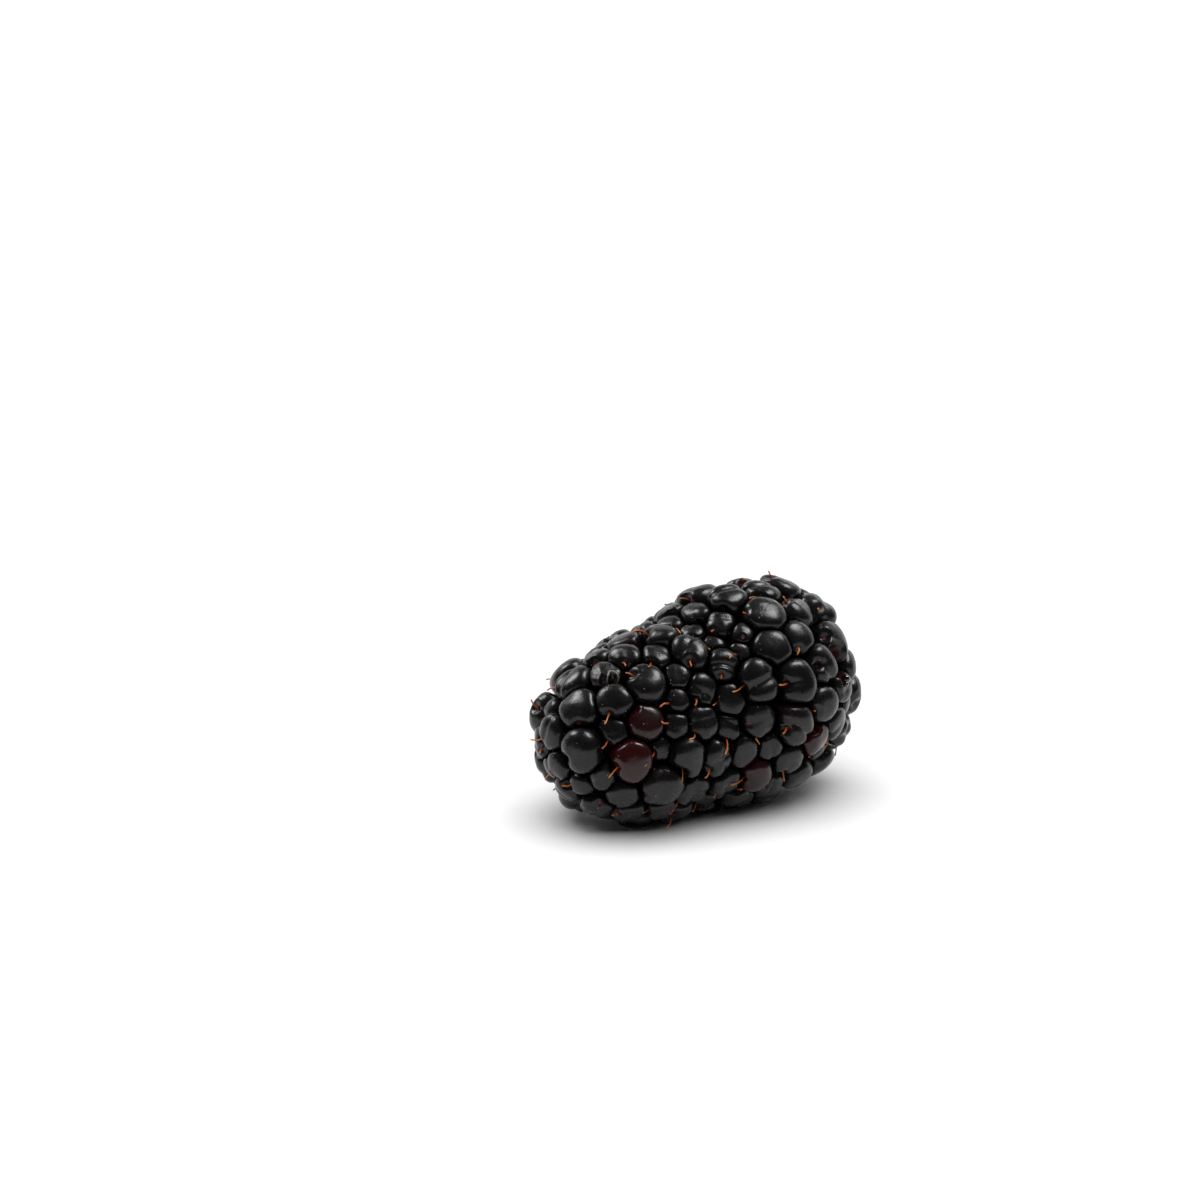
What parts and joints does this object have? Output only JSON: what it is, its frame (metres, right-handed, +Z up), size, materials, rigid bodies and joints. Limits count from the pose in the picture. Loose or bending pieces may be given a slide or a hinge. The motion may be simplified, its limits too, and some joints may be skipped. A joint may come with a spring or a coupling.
{
  "type": "bramble berry",
  "caption": "Ripe bramble berry lying on its side: plump drupelets grown fast to one receptacle, with dried styles and the pale scar where the stalk came away.",
  "frame": {"origin": "on the surface that the berry lies on, under the middle of its bounding box", "axes": "+X along the berry from its tip to its stem end, +Z up"},
  "size_m": [0.0355, 0.023, 0.0227],
  "materials": {
    "drupelet_skin": "near-black fruit skin with a satin gloss, a little redder where a drupelet ripened last",
    "receptacle": "pale, matt, fibrous pith",
    "dried_style": "dry orange-brown thread, redder at its root"
  },
  "bodies": {
    "root": {"drupelets": "drupelet_skin", "receptacle_end": "receptacle"}
  },
  "joints": []
}
